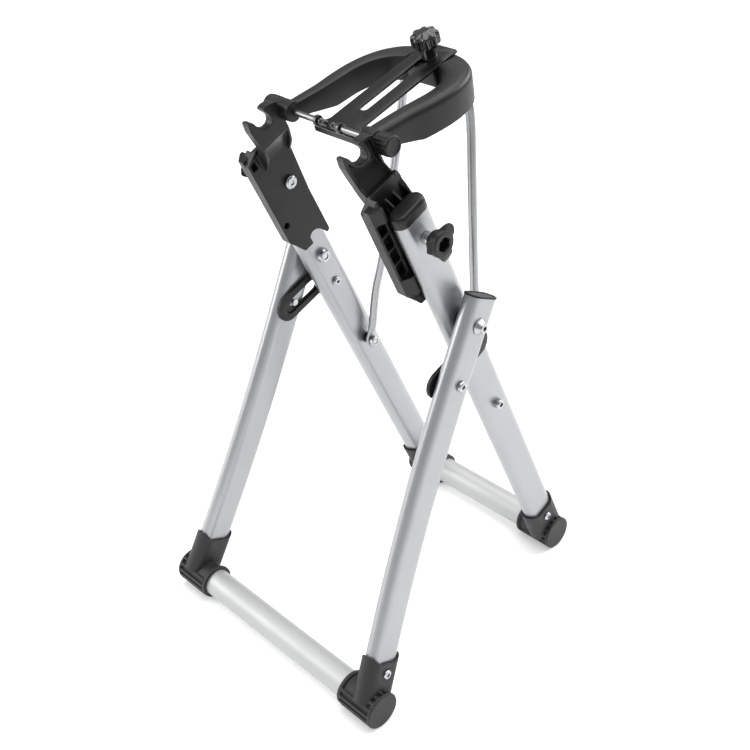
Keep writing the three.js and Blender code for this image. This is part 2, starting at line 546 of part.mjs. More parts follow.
// Dropout clamps: bolt from the inside, plain sleeve and tri-lobed knob outside.
{
  const at = onMain(CLAMP_AT, 0);
  pair("clamp_bolt", bolt(
    [
      [0, 61.2], [4.6, 61.2], [5.9, 62.2], [5.9, 64.8], [3, 64.8], [3, 104], [0, 104],
    ], at), ZINC);
  pair("clamp_sleeve", bolt(
    [[3.1, MAIN_OUT + 0.2], [5.4, MAIN_OUT + 0.2], [5.4, 99.8], [3.1, 99.8]], at), ZINC);
  let knob = turned(
    [
      [3.1, 100], [8, 100], [9.6, 102], [11, 106], [11, 111.2], [10.2, 112], [6, 112], [6, 104.3], [3.1, 104.3],
    ], at, X, 18);
  for (const degrees of [-62, 58, 178]) {
    const a = THREE.MathUtils.degToRad(degrees);
    const radial = MAIN_UP.clone().multiplyScalar(Math.cos(a)).addScaledVector(MAIN_N, Math.sin(a));
    const side = new THREE.Vector3().crossVectors(X, radial);
    const lobe = [[6.4, -6], [13.6, -5.2], [16.6, -3.4], [17.4, 0], [16.6, 3.4], [13.6, 5.2], [6.4, 6]];
    const tab = prism(lobe, 9.8, basis(onMain(CLAMP_AT, 101.4), radial, side));
    const slope = prism([[6, 104.5], [19, 110.6], [19, 90], [6, 90]], 20,
      basis(onMain(CLAMP_AT, 0).addScaledVector(side, 10), radial, X));
    knob = knob.add(tab.subtract(slope));
  }
  pair("clamp_knob", cut(knob, turned([[0, 104.3], [6, 104.3], [6, 114], [0, 114]], at, X, 18)), BLACK);
}

const group = new THREE.Group();
group.name = "truing_stand";
for (const [name, solid] of Object.entries(solids)) {
  const mesh = new THREE.Mesh(geometryOf(solid), new THREE.MeshStandardMaterial(materials[name]));
  mesh.name = name;
  group.add(mesh);
}
export default group;
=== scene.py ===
import json
import math

import bmesh
import bpy
from mathutils import Matrix, Vector


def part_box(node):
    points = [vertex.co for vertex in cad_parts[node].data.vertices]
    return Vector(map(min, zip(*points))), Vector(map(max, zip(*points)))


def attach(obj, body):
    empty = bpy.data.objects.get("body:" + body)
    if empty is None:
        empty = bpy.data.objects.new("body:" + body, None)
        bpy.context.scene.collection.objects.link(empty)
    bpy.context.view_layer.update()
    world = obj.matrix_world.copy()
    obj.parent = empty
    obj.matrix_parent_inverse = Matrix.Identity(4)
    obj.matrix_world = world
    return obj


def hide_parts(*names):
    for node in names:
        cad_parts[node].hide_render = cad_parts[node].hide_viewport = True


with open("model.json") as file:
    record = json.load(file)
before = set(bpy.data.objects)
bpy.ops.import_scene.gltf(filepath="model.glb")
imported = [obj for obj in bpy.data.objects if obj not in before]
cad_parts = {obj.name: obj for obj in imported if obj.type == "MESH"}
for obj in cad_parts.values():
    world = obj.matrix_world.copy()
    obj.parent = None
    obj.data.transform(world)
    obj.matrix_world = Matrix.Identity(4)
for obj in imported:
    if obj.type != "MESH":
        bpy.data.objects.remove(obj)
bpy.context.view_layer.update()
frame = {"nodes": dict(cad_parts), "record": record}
record = frame["record"]
JOINTS = {joint["name"]: joint for joint in record["behaviour"]["joints"]}
BODY_OF = {node: body for body, nodes in record["behaviour"]["bodies"].items() for node in nodes}
SLOT_OF = {part["node"]: part["material_slot"] for part in record["subparts"]}
TAU = 2 * math.pi
X = Vector((1, 0, 0))


# ---- places, in millimetres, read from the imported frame
def box(node):
    low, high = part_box(node)
    return Vector(low) * 1000, Vector(high) * 1000


def mid(node):
    low, high = box(node)
    return (low + high) / 2


def flat(v, x=0.0):
    return Vector((x, v.y, v.z))


def joint_at(name):
    return flat(Vector(JOINTS[name]["pos_m"]) * 1000)


def square_to(direction):
    """The direction in the YZ plane a quarter turn on from this one."""
    return Vector((0, -direction.z, direction.y))


LEG_W, LEG_T = 33.0, 16.0  # the flat-oval leg tubes
ARM_TILT = math.radians(10.5)  # the gauge arm's top against the floor
ARM_RISE = 6.3  # the gauge arm's top above its barrels' axis
STUD_FROM_LIP = 118  # along the radial plate

PIVOT = joint_at("frame_fold")
REAR = flat(mid("rear_cross_tube"))
FRONT = flat(mid("front_cross_tube"))
CROSS_R = REAR.z - box("rear_cross_tube")[0].z
MAIN_UP = (PIVOT - REAR).normalized()
SHORT_UP = (PIVOT - FRONT).normalized()
MAIN_N = square_to(MAIN_UP)
SHORT_N = square_to(SHORT_UP)
MAIN_LEN = (PIVOT - REAR).length
SHORT_LEN = (PIVOT - FRONT).length
MAIN_X = mid("main_leg_right").x
SHORT_X = mid("short_leg_plug_right").x
MAIN_IN, MAIN_OUT = MAIN_X - LEG_T / 2, MAIN_X + LEG_T / 2
SHORT_IN, SHORT_OUT = SHORT_X - LEG_T / 2, SHORT_X + LEG_T / 2
LINK = joint_at("brace_turn_right")
BRACE = flat(mid("brace_screw_right"))
WIRE = joint_at("support_swing")
BAR = joint_at("arm_tilt")
CLAMP = joint_at("clamp_turn_right")
STUD = joint_at("star_turn")
PLATE_U = Vector(JOINTS["radial_slide"]["axis"]).normalized()
PLATE_N = square_to(PLATE_U)
LIP = STUD - PLATE_U * STUD_FROM_LIP
BARREL = flat(mid("lateral_rod_right"))
ARM_U = Vector((0, math.cos(ARM_TILT), math.sin(ARM_TILT)))
ARM_N = square_to(ARM_U)
ARM_O = BARREL + Vector((0, 0, ARM_RISE))

# The short legs bow outward between these distances below the pivot, and run on straight.
BOW_FROM, BOW_TO = 46.0, SHORT_LEN - 50
BOW = 0.0002


def on_main(s, x=0.0, n=0.0):
    return PIVOT + X * x + MAIN_UP * s + MAIN_N * n


def bowed(s):
    return max(min(-s, BOW_TO) - BOW_FROM, 0)


def slope(s):
    return 2 * BOW * bowed(s)


def short_x(s):
    return SHORT_X + BOW * bowed(s) ** 2 + slope(s) * max(-s - BOW_TO, 0)


def on_arm(x, s, h):
    return ARM_O + X * x + ARM_U * s + ARM_N * h


# ---- materials
def noise_between(nt, low, high, scale, coord):
    """Broad noise as a value from low to high."""
    noise = nt.nodes.new("ShaderNodeTexNoise")
    noise.inputs["Scale"].default_value = scale
    noise.inputs["Detail"].default_value = 4.0
    ramp = nt.nodes.new("ShaderNodeMapRange")
    ramp.inputs["From Min"].default_value = 0.3
    ramp.inputs["From Max"].default_value = 0.7
    ramp.inputs["To Min"].default_value = low
    ramp.inputs["To Max"].default_value = high
    nt.links.new(coord, noise.inputs["Vector"])
    nt.links.new(noise.outputs["Fac"], ramp.inputs["Value"])
    return ramp.outputs["Result"]


def material(name, colour, metallic, rough, grain, bump, coat=0.0, spread=0.05, tint=0.03, spec=0.5):
    """rough varies by spread and the colour by tint. grain and bump are the fine bumps' scale and depth."""
    mat = bpy.data.materials.new(name)
    mat.use_nodes = True
    nt = mat.node_tree
    bsdf = nt.nodes["Principled BSDF"]
    bsdf.inputs["Metallic"].default_value = metallic
    bsdf.inputs["Specular IOR Level"].default_value = spec
    bsdf.inputs["Coat Weight"].default_value = coat
    bsdf.inputs["Coat Roughness"].default_value = 0.12
    coord = nt.nodes.new("ShaderNodeTexCoord").outputs["Object"]
    nt.links.new(noise_between(nt, rough - spread, rough + spread, 38.0, coord), bsdf.inputs["Roughness"])
    base = nt.nodes.new("ShaderNodeRGB")
    base.outputs[0].default_value = (*colour, 1)
    scaled = nt.nodes.new("ShaderNodeVectorMath")
    scaled.operation = "SCALE"
    nt.links.new(base.outputs[0], scaled.inputs[0])
    nt.links.new(noise_between(nt, 1 - tint, 1 + tint, 14.0, coord), scaled.inputs["Scale"])
    nt.links.new(scaled.outputs["Vector"], bsdf.inputs["Base Color"])
    fine = nt.nodes.new("ShaderNodeTexNoise")
    fine.inputs["Scale"].default_value = grain
    fine.inputs["Detail"].default_value = 3.0
    nt.links.new(coord, fine.inputs["Vector"])
    bumps = nt.nodes.new("ShaderNodeBump")
    bumps.inputs["Strength"].default_value = bump
    bumps.inputs["Distance"].default_value = 0.0004
    nt.links.new(fine.outputs["Fac"], bumps.inputs["Height"])
    nt.links.new(bumps.outputs["Normal"], bsdf.inputs["Normal"])
    return mat


MATS = {
    "silver_tube": material("silver_paint", (0.40, 0.41, 0.42), 0.8, 0.36, 2600, 0.004,
                            coat=0.12, spread=0.03),
    "black_plastic": material("black_moulding", (0.0085, 0.0085, 0.0095), 0.0, 0.38, 1300, 0.16,
                              tint=0.1, spec=0.34),
    "gloss_plastic": material("gloss_black", (0.009, 0.009, 0.010), 0.0, 0.16, 400, 0.02,
                              coat=0.5, spread=0.03),
    "zinc": material("zinc_plate", (0.47, 0.48, 0.49), 1.0, 0.19, 700, 0.04, spread=0.04),
    "bright_wire": material("bright_rod", (0.36, 0.365, 0.375), 1.0, 0.27, 900, 0.03, spread=0.04),
    "black_paint": material("black_enamel", (0.006, 0.006, 0.007), 0.0, 0.28, 800, 0.04, coat=0.15, spec=0.3),
}
TUBE = material("satin_tube", (0.50, 0.51, 0.51), 0.55, 0.52, 1800, 0.01, spread=0.03)
SHOE = material("foot_moulding", (0.026, 0.026, 0.028), 0.0, 0.5, 1300, 0.2, tint=0.1, spec=0.34)
STEEL = material("ground_steel", (0.2, 0.2, 0.205), 1.0, 0.25, 900, 0.03, spread=0.04)
for node, obj in frame["nodes"].items():
    obj.data.materials.clear()
    obj.data.materials.append(MATS[SLOT_OF[node]])


# ---- outlines: lists of points in the plane
def corner(before, at, after, radius, share, steps):
    """A rounded corner, which takes at most this share of either side."""
    to_before, to_after = before - at, after - at
    cut = min(radius, to_before.length * share, to_after.length * share)
    start = at + to_before.normalized() * cut
    end = at + to_after.normalized() * cut
    curve = []
    for k in range(steps + 1):
        t = k / steps
        curve.append(tuple(start * (1 - t) ** 2 + at * (2 * t * (1 - t)) + end * t * t))
    return curve


def soften(profile, radius=0.4):
    """An open profile with rounded corners."""
    pts = [Vector(p) for p in profile]
    out = [tuple(pts[0])]
    for before, at, after in zip(pts, pts[1:], pts[2:]):
        out += corner(before, at, after, radius, 0.45, 4)
    return out + [tuple(pts[-1])]


def fillet(points, radius):
    """A closed polygon with rounded corners."""
    pts = [Vector(p) for p in points]
    out = []
    for before, at, after in zip(pts[-1:] + pts, pts, pts[1:] + pts[:1]):
        out += corner(before, at, after, radius, 0.46, 5)
    return out


def spline(points, count):
    """A Catmull-Rom curve through points of any dimension."""
    pts = [Vector(p) for p in points]
    out = []
    for k in range(count):
        t = (len(pts) - 1) * k / (count - 1)
        i = min(int(t), len(pts) - 2)
        f = t - i
        p0, p1, p2, p3 = pts[max(i - 1, 0)], pts[i], pts[i + 1], pts[min(i + 2, len(pts) - 1)]
        out.append(0.5 * (2 * p1 + (p2 - p0) * f + (2 * p0 - 5 * p1 + 4 * p2 - p3) * f * f
                          + (3 * p1 - p0 - 3 * p2 + p3) * f * f * f))
    return out


def oval(w, t, steps=24):
    """Two half circles joined by straight sides, w long and t across."""
    out = []
    for side, turn in ((1, 0), (-1, math.pi)):
        for i in range(steps + 1):
            a = -math.pi / 2 + math.pi * i / steps + turn
            out.append((side * (w - t) / 2 + t / 2 * math.cos(a), t / 2 * math.sin(a)))
    return out


def slot_shape(x0, x1, r):
    return [(x + (x0 + x1) / 2, y) for x, y in oval(x1 - x0 + 2 * r, 2 * r, 16)]


def circle(x, y, r, steps=36):
    return [(x + r * math.cos(TAU * k / steps), y + r * math.sin(TAU * k / steps)) for k in range(steps)]


# ---- meshes, from points in millimetres
def welded(me):
    bm = bmesh.new()
    bm.from_mesh(me)
    bmesh.ops.remove_doubles(bm, verts=bm.verts, dist=1e-7)
    bmesh.ops.recalc_face_normals(bm, faces=bm.faces)
    bm.to_mesh(me)
    bm.free()
    return me


def skin(rings):
    """A closed tube through rings of equally many points."""
    n = len(rings[0])
    faces = [
        (r * n + i, r * n + (i + 1) % n, (r + 1) * n + (i + 1) % n, (r + 1) * n + i)
        for r in range(len(rings) - 1) for i in range(n)
    ]
    faces.append(tuple(range(n - 1, -1, -1)))
    faces.append(tuple((len(rings) - 1) * n + i for i in range(n)))
    me = bpy.data.meshes.new("skin")
    me.from_pydata([tuple(p * 0.001) for ring in rings for p in ring], [], faces)
    me.validate()
    return welded(me)


def hexed(angle):
    """Radius of a hexagon whose corners are at 1."""
    return math.cos(math.pi / 6) / math.cos((angle + math.pi / 6) % (math.pi / 3) - math.pi / 6)


def lathe(profile, o, axis, steps=72, shape=None):
    """A turned piece. profile holds (radius, height) from axis to axis, and a third value, "hex", makes
    that ring a hexagon. shape(angle, radius, height) changes the radius."""
    side = Vector((0, 0, 1)) if abs(axis.z) < 0.8 else X
    u = axis.cross(side).normalized()
    v = axis.cross(u).normalized()
    rings = []
    for r, h, *kind in profile:
        ring = []
        for k in range(steps):
            a = TAU * k / steps
            reach = r * hexed(a) if kind else r
            if shape:
                reach = shape(a, r, h)
            ring.append(o + (u * math.cos(a) + v * math.sin(a)) * reach + axis * h)
        rings.append(ring)
    return skin(rings)


def placed(ex, ey, ez, o):
    """The matrix whose columns are three axes and a place."""
    return Matrix([*zip(ex, ey, ez, o), (0, 0, 0, 1)])


def baked(obj):
    """The object's evaluated mesh. The object goes."""
    bpy.context.scene.collection.objects.link(obj)
    bpy.context.view_layer.update()
    me = bpy.data.meshes.new_from_object(obj.evaluated_get(bpy.context.evaluated_depsgraph_get()))
    bpy.data.objects.remove(obj)
    return me


def slab(outlines, o, ex, ey, h0, h1, bevel=0.0):
    """A flat plate from h0 to h1. The first outline is its edge and the rest are holes, along ex and ey."""
    curve = bpy.data.curves.new("slab", "CURVE")
    curve.dimensions = "2D"
    curve.fill_mode = "BOTH"
    for line in outlines:
        loop = curve.splines.new("POLY")
        loop.points.add(len(line) - 1)
        for point, (x, y) in zip(loop.points, line):
            point.co = (x, y, 0, 1)
        loop.use_cyclic_u = True
    curve.extrude = (h1 - h0) / 2 - bevel
    curve.bevel_depth = bevel
    curve.bevel_resolution = 3
    curve.offset = -bevel
    me = baked(bpy.data.objects.new("slab", curve))
    raised = Matrix.Translation((0, 0, (h0 + h1) / 2))
    me.transform(Matrix.Scale(0.001, 4) @ placed(ex, ey, ex.cross(ey), o) @ raised)
    return welded(me)


def merged(*meshes):
    bm = bmesh.new()
    for me in meshes:
        bm.from_mesh(me)
    out = bpy.data.meshes.new("merged")
    bm.to_mesh(out)
    bm.free()
    return out


def less(me, *tools, exact=False):
    """The mesh with the tools cut out of it."""
    obj = bpy.data.objects.new("cut", me)
    cutters = [bpy.data.objects.new("tool", tool) for tool in tools]
    for cutter in cutters:
        bpy.context.scene.collection.objects.link(cutter)
        cut = obj.modifiers.new("cut", "BOOLEAN")
        cut.operation = "DIFFERENCE"
        cut.solver = "EXACT" if exact else "FAST"
        cut.object = cutter
    out = baked(obj)
    for cutter in cutters:
        bpy.data.objects.remove(cutter)
    return out


def fused(me, voxel, rounds):
    """One moulding from overlapping closed pieces, its edges softened by some rounds of smoothing."""
    obj = bpy.data.objects.new("fused", me)
    mod = obj.modifiers.new("fuse", "REMESH")
    mod.mode = "VOXEL"
    mod.voxel_size = voxel / 1000
    mod.use_smooth_shade = True
    soft = obj.modifiers.new("soft", "SMOOTH")
    soft.factor = 0.5
    soft.iterations = rounds
    return baked(obj)


def mirrored(me):
    out = me.copy()
    out.transform(Matrix.Scale(-1, 4, X))
    out.flip_normals()
    return out


def piece(name, me, angle=35.0, finish=None):
    """Puts a mesh in place of the node of this name. Edges sharper than angle stay sharp."""
    me = me.copy()
    me.name = name
    for poly in me.polygons:
        poly.use_smooth = True
    me.set_sharp_from_angle(angle=math.radians(angle))
    obj = bpy.data.objects.new("v_" + name, me)
    bpy.context.scene.collection.objects.link(obj)
    me.materials.clear()
    me.materials.append(finish or MATS[SLOT_OF[name]])
    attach(obj, BODY_OF[name])
    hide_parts(name)


def pair(name, me, angle=35.0, finish=None):
    piece(name + "_right", me, angle, finish)
    piece(name + "_left", mirrored(me), angle, finish)


# ---- long and short legs, with their caps: a ring of the tube's section at each (distance, growth)
LEG_INTO_FOOT = 16  # the tube's end, short of the cross tube's axis
MAIN_TOP, SHORT_TOP = 117.4, 23.2


def main_ring(s, growth=0.0):
    return [on_main(s, MAIN_X + x, n) for n, x in oval(LEG_W + growth, LEG_T + growth)]


def short_ring(s, growth=0.0):
    up = (SHORT_UP - X * slope(s)).normalized()
    across = up.cross(SHORT_N).normalized()
    centre = PIVOT + X * short_x(s) + SHORT_UP * s
    return [centre + SHORT_N * n + across * x for n, x in oval(LEG_W + growth, LEG_T + growth)]


pair("main_leg", skin([main_ring(LEG_INTO_FOOT - MAIN_LEN), main_ring(MAIN_TOP)]))
cap = [(117.5, 0.0), (117.5, 0.35), (118.0, 0.6), (123.6, 0.6), (124.6, 0.45), (125.6, 0.0), (126.5, -0.8),
       (127.2, -1.9), (127.6, -3.4), (127.7, -5.5)]
pair("main_leg_cap", skin([main_ring(s, growth) for s, growth in cap]), 50)

short_low = LEG_INTO_FOOT - SHORT_LEN
pair("short_leg", skin([short_ring(short_low + (SHORT_TOP - short_low) * k / 48) for k in range(49)]))
plug = [(23.3, 0.8), (23.5, 1.3), (24.4, 1.3), (24.8, 0.9), (24.95, 0.0), (24.95, -2.4), (24.4, -3.2),
        (24.4, -6)]
pair("short_leg_plug", skin([short_ring(s, growth) for s, growth in plug]), 50)

# ---- feet, screws and cross tubes
RIBS = 16
RIB_END = 12.9
SLEEVE_FLOOR, SOCKET_FLOOR = 3, 17  # above the cross tube's axis
SLEEVE_GROWTH, SOCKET_GROWTH = 5.3, 0.3  # over the leg tube's width and thickness
SCREW_UP = 32
TUBE_PAST_LEG = 9  # the cross tube's end, beyond the leg's middle


def foot_rib(k, centre, up):
    """One of the ribs along the drum. Those on the leg's side start further out, past its sleeve."""
    a = TAU * (k + 0.5) / RIBS
    radial = Vector((0, math.cos(a), math.sin(a)))
    facing = radial.dot(up)
    start = 9.0 if facing > 0.74 else 2.0 if facing > 0.2 else -22.9
    section = [(12, -1.6), (17.3, -1.3), (17.3, 1.3), (12, 1.6)]
    return slab([section], centre, radial, X.cross(radial), start, RIB_END)


def sleeve_lip(across):
    """Height of the sleeve's scooped mouth at this distance from its middle."""
    return min(47.0, 68.5 - math.sqrt(max(27.5 ** 2 - across * across, 0)))


def foot_sleeve(centre, up, across, out):
    def ring(growth, floor, share):
        points = oval(LEG_W + growth, LEG_T + growth, 40)
        return [
            centre + across * a + out * b + up * (floor + (sleeve_lip(a) - floor) * share) for a, b in points]

    outside = [ring(SLEEVE_GROWTH, SLEEVE_FLOOR, share) for share in (0, 0.3, 0.6, 0.9, 1)]
    inside = [ring(SOCKET_GROWTH, SOCKET_FLOOR, share) for share in (1, 0.8, 0.5, 0.2, 0)]
    return skin(outside + inside)


def foot(centre, up, across, out):
    drum = [(0, -26), (16.9, -26), (16.9, -22.6), (14.6, -22.0), (14.6, 12.2), (17.5, 12.7), (17.5, 14.8),
            (16.6, 15.6), (0, 15.6)]
    ribs = [foot_rib(k, centre, up) for k in range(RIBS)]
    sleeve = foot_sleeve(centre, up, across, out)
    return fused(merged(lathe(soften(drum, 0.5), centre, X, 120), *ribs, sleeve), 0.42, 3)


def foot_screw(centre, up, out):
    head = soften([(0, -3), (2, -3), (2, 0.1), (4.4, 0.1), (4.4, 1.0), (3.9, 1.8), (2.2, 2.3)], 0.25)
    socket = [(2.0, 2.3, "hex"), (1.9, 1.0, "hex"), (0, 0.9)]
    face = (LEG_T + SLEEVE_GROWTH) / 2
    return lathe(head + socket, centre + up * SCREW_UP + out * face, out)


front_up = (SHORT_UP - X * slope(-SHORT_LEN)).normalized()
for end, axle, leg_x, up, across in (
    ("rear", REAR, MAIN_X, MAIN_UP, MAIN_N),
    ("front", FRONT, short_x(-SHORT_LEN), front_up, SHORT_N),
):
    out = up.cross(across).normalized()
    pair(end + "_foot", foot(flat(axle, leg_x), up, across, out), 60, SHOE)
    pair(end + "_foot_screw", foot_screw(flat(axle, leg_x), up, out))
    reach = leg_x + TUBE_PAST_LEG
    tube = [(0, -reach), (CROSS_R, -reach), (CROSS_R, reach), (0, reach)]
    piece(end + "_cross_tube", lathe(tube, axle, X, 96), finish=TUBE)


# ---- bolts, nuts and washers
LINK_IN, LINK_STEP, LINK_OUT = 93, 95.2, 96.5  # the brace link's inner face, its pocket's end, its outer face


def hexbolt(points, socket, o):
    """points run to the crown, and socket is a hexagon's (radius, mouth height, floor height)."""
    radius, mouth, floor = socket
    dip = -0.3 if floor < mouth else 0.3
    well = [(radius, mouth, "hex"), (radius * 0.97, floor, "hex"), (0, floor + dip)]
    return lathe(soften(points, 0.3) + well, o, X)


def spacer(radius, x0, x1, o, soft=0.4):
    return lathe(soften([(0, x0), (radius, x0), (radius, x1), (0, x1)], soft), o, X)


pair("pivot_bolt", hexbolt(
    [(0, MAIN_IN - 4.4), (3, MAIN_IN - 4.4), (3, SHORT_OUT + 0.2), (7, SHORT_OUT + 0.2), (7, SHORT_OUT + 1.1),
     (6.5, SHORT_OUT + 1.5), (4.3, SHORT_OUT + 4.9), (4.1, SHORT_OUT + 6.0), (3.1, SHORT_OUT + 6.2)],
    (2.3, SHORT_OUT + 6.2, SHORT_OUT + 2.8), PIVOT))
nut_dome = [(6.6 - 0.03 * k * k, MAIN_IN - 1.6 - 0.6 * k) for k in range(1, 6)]
pair("pivot_nut", lathe(
    [(0, MAIN_IN - 0.1), (6.8, MAIN_IN - 0.1), (6.8, MAIN_IN - 1.4), *nut_dome, (4.4, MAIN_IN - 5.2),
     (3.1, MAIN_IN - 5.2), (3.1, MAIN_IN - 4), (0, MAIN_IN - 4)], PIVOT, X))
pair("pivot_washer", spacer(8, MAIN_OUT + 0.2, SHORT_IN - 0.2, PIVOT))
pair("link_bolt", hexbolt(
    [(0, SHORT_IN - 0.6), (2.5, SHORT_IN - 0.6), (2.5, MAIN_IN - 0.2), (4.4, MAIN_IN - 0.2),
     (4.4, MAIN_IN - 2.2), (3.6, MAIN_IN - 3.0), (2.6, MAIN_IN - 3.2)],
    (2.1, MAIN_IN - 3.2, MAIN_IN - 1.4), LINK))
pair("brace_screw", hexbolt(
    [(0, LINK_STEP - 0.5), (2, LINK_STEP - 0.5), (2, SHORT_OUT + 0.2), (4.8, SHORT_OUT + 0.2),
     (4.8, SHORT_OUT + 2.0), (4.2, SHORT_OUT + 3.2), (2.8, SHORT_OUT + 3.8)],
    (2.2, SHORT_OUT + 3.8, SHORT_OUT + 1.8), BRACE))
pair("brace_nut", spacer(3.2, LINK_IN + 0.1, LINK_STEP - 0.6, BRACE, 0.2))

EYE_X = 68.8  # the middle of the support wire's flattened eyes
pair("wire_bolt", hexbolt(
    [(0, EYE_X - 5.4), (2.5, EYE_X - 5.4), (2.5, MAIN_OUT + 0.2), (4.6, MAIN_OUT + 0.2),
     (4.6, MAIN_OUT + 4.4), (3.9, MAIN_OUT + 5.4), (3, MAIN_OUT + 5.6)],
    (2.4, MAIN_OUT + 5.6, MAIN_OUT + 2.6), WIRE))
pair("wire_spacer", spacer(5.2, EYE_X + 2, MAIN_IN - 0.2, WIRE))
pair("wire_nut", lathe(soften(
    [(0, EYE_X - 2), (4.7, EYE_X - 2), (4.7, EYE_X - 5), (3.9, EYE_X - 5.8), (2.9, EYE_X - 5.8),
     (2.9, EYE_X - 4.6), (0, EYE_X - 4.4)], 0.3), WIRE, X))

# ---- brace link: a slotted bar, with a wider pocket on its inner side for the screw's nut
rest = (BRACE - LINK).normalized()
edge = slot_shape(-3, 47.5, 13)
pair("brace_link", merged(
    slab([edge, slot_shape(15.5, 45.5, 6.6)], LINK, rest, square_to(rest), LINK_IN, LINK_STEP, 0.3),
    slab([edge, slot_shape(16, 40.2, 4.9)], LINK, rest, square_to(rest), LINK_STEP - 0.6, LINK_OUT, 0.4)), 40)

# ---- support wire: two flattened eyes, two sides and a crossbar, which stands off the plane of the sides
BAR_OFF = 3.3
WIRE_R = 4
bar_at = math.sqrt((BAR - WIRE).length_squared - BAR_OFF ** 2)
lean = math.atan2(BAR.z - WIRE.z, BAR.y - WIRE.y) - math.atan2(BAR_OFF, bar_at)
wire_u = Vector((0, math.cos(lean), math.sin(lean)))
wire_n = square_to(wire_u)
# (distance from the eye, x, half height, half thickness)
eye = [(-7.3, EYE_X, 2.6, 1.5), (-6, EYE_X, 5.0, 1.6), (-3, EYE_X, 6.6, 1.6), (0, EYE_X, 7, 1.6),
       (4, EYE_X, 6.7, 1.6), (8, EYE_X - 0.1, 5.8, 1.9), (12, EYE_X - 0.4, 4.8, 2.8),
       (17, EYE_X - 0.9, 4.05, 3.8)]
# (distance from the eye, x, distance off the plane)
route = [(23, EYE_X - 1.3, 0), (30, EYE_X - 1.8, 0), (45, 66, 0), (60, 64.2, 0), (75, 61, 0), (90, 57.8, 0),
         (110, 55, 0), (145, 50.8, 0), (180, 46.8, 0), (210, 43.3, 0), (236, 40.3, 0), (250, 38.6, 0.8),
         (258, 37.3, 1.7), (264, 35.2, 2.6), (268.2, 31.8, 3.1), (bar_at, 27, BAR_OFF), (bar_at, 14, BAR_OFF),
         (bar_at, 0, BAR_OFF)]
half = [(*station, 0) for station in eye] + [(s, x, WIRE_R, WIRE_R, off) for s, x, off in route]
path = spline(half + [(s, -x, *rest_of) for s, x, *rest_of in half[-2::-1]], 420)
rings = []
for before, (s, x, tall, thin, off), after in zip(path[:1] + path, path, path[1:] + path[-1:]):
    along = Vector((after[0] - before[0], after[1] - before[1])).normalized()
    ring = []
    for k in range(32):
        a = TAU * k / 32
        p = thin * math.cos(a)
        height = off + tall * math.sin(a)
        ring.append(WIRE + wire_u * (s + along.y * p) + X * (x - along.x * p) + wire_n * height)
    rings.append(ring)
piece("support_wire", skin(rings), angle=60)

# ---- gauge arm: a section swept round the U, two barrels, and the seat under the radial plate
BARREL_R, BARREL_LONG, BARREL_FROM = 8.4, 13.6, 40.6
DEEP, SHALLOW = 26, 15.5
SEAT_GAP = 2.4


def whole(half_outline):
    """Both sides of the U, from the outline of one as (x, distance)."""
    return spline(half_outline + [(-x, s) for x, s in half_outline[-2::-1]], 181)


def depth(s):
    return min(max(SHALLOW + (DEEP - SHALLOW) * (s - 8) / 36, SHALLOW), DEEP)


def arm_ring(outer, inner):
    d, e = depth(outer[1]), depth(inner[1]) * 0.82
    w = (outer - inner).length
    # (distance in from the outer edge, height), round the section
    section = [(0, -d), (0, -6.5), (0.15, -4.6), (0.6, -3.1), (1.5, -1.8), (2.8, -0.8), (4.4, -0.2), (6.2, 0),
               (w - 0.9, 0), (w - 0.3, -0.25), (w, -0.9), (w, -e), (w - 1.0, -e - 0.6), (w * 0.55, -e - 1.2),
               (1.2, -d)]
    ring = []
    for t, h in section:
        x, s = outer.lerp(inner, t / w)
        ring.append(on_arm(x, s, h))
    return ring


outer_edge = [(53.5, 1), (54, 14), (54.8, 34), (57.4, 54), (58.4, 72), (57, 88), (52.6, 103), (46, 114),
              (36, 123), (21, 129.6), (0, 132)]
inner_edge = [(40.7, -1.5), (40, 14), (40.2, 34), (41.4, 54), (42.2, 68), (40.4, 82), (36.4, 92), (30, 99.5),
              (21.5, 104.2), (11, 106.8), (0, 107.5)]
bow = skin([arm_ring(*edges) for edges in zip(whole(outer_edge), whole(inner_edge))])
plate_bed = slab([[(-18.6, 90), (18.6, 90), (18.6, 150), (-18.6, 150)]], LIP, X, PLATE_U, -SEAT_GAP, 30)
seat = slab([fillet([(-15.5, 104), (15.5, 104), (15.5, 126), (-15.5, 126)], 2)],
            LIP, X, PLATE_U, -18, -SEAT_GAP, 0.5)
barrels = [spacer(BARREL_R, x, x + BARREL_LONG, BARREL, 0.6)
           for x in (BARREL_FROM, -BARREL_FROM - BARREL_LONG)]
piece("gauge_arm", merged(less(bow, plate_bed, exact=True), seat, *barrels), angle=32)

# ---- lateral gauges
KNURL_FROM, KNURL_TO = 56.6, 68.2


def knurl(a, r, h):
    if r < 7.5 or not KNURL_FROM < h < KNURL_TO:
        return r
    return r + 0.55 * max(0, math.cos(a * 18)) ** 0.7


def bead(radius, half_length, centre, first):
    """A ball's profile, in sixteenths of a half turn from the first to three quarters of the way."""
    turns = [math.pi * k / 16 for k in range(first, 13)]
    return [(radius * math.sin(a), centre - half_length * math.cos(a)) for a in turns]


grip = (soften([(0, 54.6), (7.6, 54.6), (8, 55.4), (8, 56.6)], 0.3)
        + [(8, h) for h in (57, 58, 62, 66, 67.8)]
        + soften([(8, 68.2), (8.3, 68.5), (8.3, 69.6), (7.6, 70.4), (6.2, 70.4), (5.9, 69.6),
                  (0, 69.5)], 0.3))
pair("lateral_knob", lathe(grip, BARREL, X, 216, knurl), 40)
pair("lateral_rod", lathe(soften([(0, 14.2), (2.6, 14.2), (2.6, 63.9), (0, 63.9)], 0.2), BARREL, X, 48),
     finish=STEEL)
tip = ([(0, 2.0)] + bead(2.75, 2.6, 4.6, 1) + bead(3.0, 3.0, 9.0, 4)
       + soften([(2.0, 11.3), (4.3, 11.4), (4.4, 14.3), (0, 14.4)], 0.3))
pair("lateral_tip", lathe(tip, BARREL, X, 48), 50)

